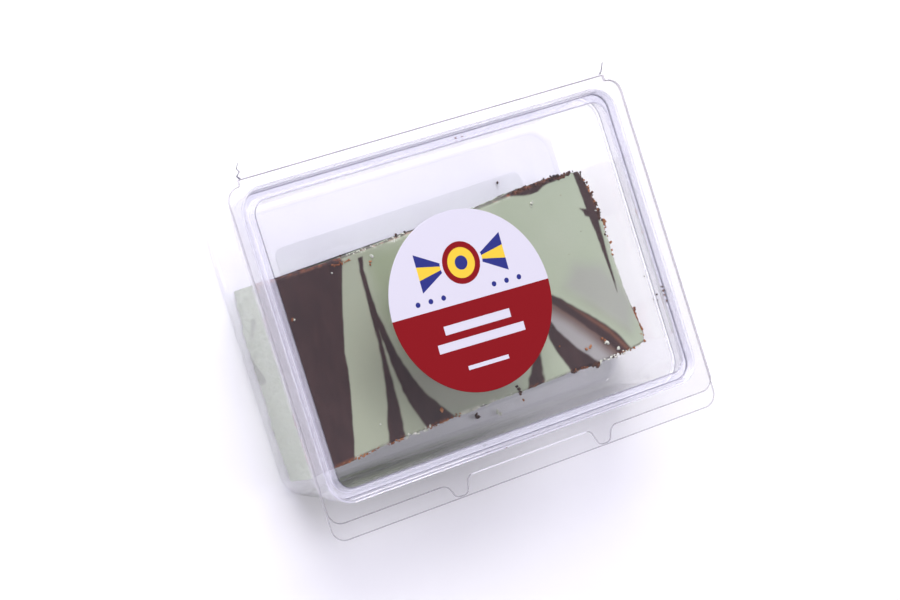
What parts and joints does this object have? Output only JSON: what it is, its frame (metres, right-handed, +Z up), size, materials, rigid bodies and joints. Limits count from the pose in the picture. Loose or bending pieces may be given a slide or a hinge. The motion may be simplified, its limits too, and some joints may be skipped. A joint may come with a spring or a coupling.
{
  "type": "hinged clear pack of swirled chocolate fudge",
  "caption": "Block of pale green and dark chocolate swirled fudge in a clear hinged plastic pack with a flanged tub, a plug-in lid and a round paper label.",
  "frame": {"origin": "middle of the flat underside of the tub, at the centre of the closed pack's outline", "axes": "+X along the pack's long side, +Y towards the hinge, +Z up through the lid"},
  "size_m": [0.156, 0.1226, 0.043],
  "materials": {
    "pack_plastic": "clear thin thermoformed polyester sheet, glossy",
    "lid_plastic": "clear thin thermoformed polyester sheet, glossy",
    "label_paper": "smooth coated paper with printed fields of white, red, navy and yellow",
    "fudge": "smooth fatty sugar paste, pale mint green with dark chocolate swirls"
  },
  "bodies": {
    "tub": {"tub": "pack_plastic", "fudge": "fudge"},
    "lid": {"lid": "lid_plastic", "label": "label_paper"}
  },
  "joints": [
    {"name": "lid_hinge", "type": "hinge", "parent": "tub", "child": "lid", "pos_m": [0, 0.06078, 0.04235], "axis": [-1, 0, 0], "range_deg": [0, 180]}
  ]
}
